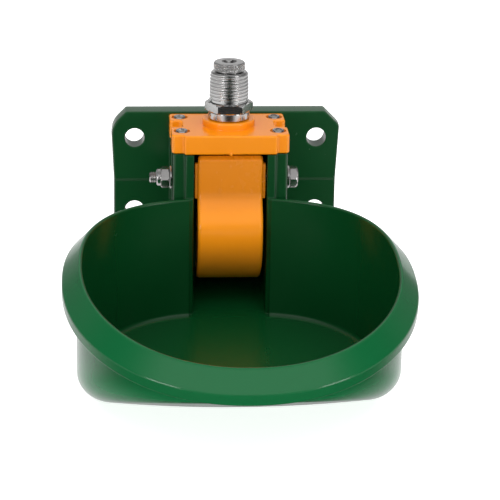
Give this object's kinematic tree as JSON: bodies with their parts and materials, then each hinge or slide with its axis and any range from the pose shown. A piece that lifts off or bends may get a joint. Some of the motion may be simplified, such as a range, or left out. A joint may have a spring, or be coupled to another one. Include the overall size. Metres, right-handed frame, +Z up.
{
  "type": "livestock drinking bowl",
  "caption": "Wall-hung drinking bowl for livestock: scoop-shaped bowl with a rolled lip, screwed valve cover, threaded inlet on top and a sprung push paddle.",
  "frame": {"origin": "on the wall plane, at the middle of the plate's four mounting holes", "axes": "+Z up along the wall, +Y into the wall, so the bowl reaches out to -Y; +X to the right as seen from the front"},
  "size_m": [0.1742, 0.2277, 0.1493],
  "materials": {
    "green_moulding": "glossy moulded plastic",
    "orange_moulding": "glossy moulded plastic",
    "stainless_fastener": "bright stainless steel",
    "turned_steel": "bright turned and plated steel",
    "spring_steel": "drawn stainless wire and pressed sheet",
    "nylon": "moulded nylon",
    "black_rubber": "moulded rubber"
  },
  "bodies": {
    "bowl": {"bowl_body": "green_moulding", "valve_cover": "orange_moulding", "cover_screw_front_left": "stainless_fastener", "cover_screw_front_right": "stainless_fastener", "cover_screw_rear_left": "stainless_fastener", "cover_screw_rear_right": "stainless_fastener", "hinge_bolt": "stainless_fastener", "hinge_nut": "stainless_fastener", "nut_insert": "nylon", "hinge_washer_left": "stainless_fastener", "hinge_washer_right": "stainless_fastener", "valve_body": "turned_steel", "inlet_cap": "turned_steel", "body_locknut": "turned_steel", "strainer_screen": "spring_steel", "cover_gasket": "black_rubber"},
    "paddle": {"paddle": "orange_moulding"},
    "stem": {"valve_stem": "turned_steel", "stem_seal": "black_rubber", "valve_spring": "spring_steel"}
  },
  "joints": [
    {"name": "paddle_hinge", "type": "hinge", "parent": "bowl", "child": "paddle", "pos_m": [0, -0.046, 0.0084], "axis": [1, 0, 0], "range_deg": [0, 12], "stiffness_Nm_per_rad": 0.048, "springref_deg": -51.57},
    {"name": "stem_lift", "type": "slide", "parent": "bowl", "child": "stem", "axis": [0, 0, 1], "range_m": [0, 0.0026], "deforming": ["valve_spring"]}
  ],
  "couplings": [
    {"joint": "stem_lift", "follows": "paddle_hinge", "m_per_rad": 0.012}
  ]
}
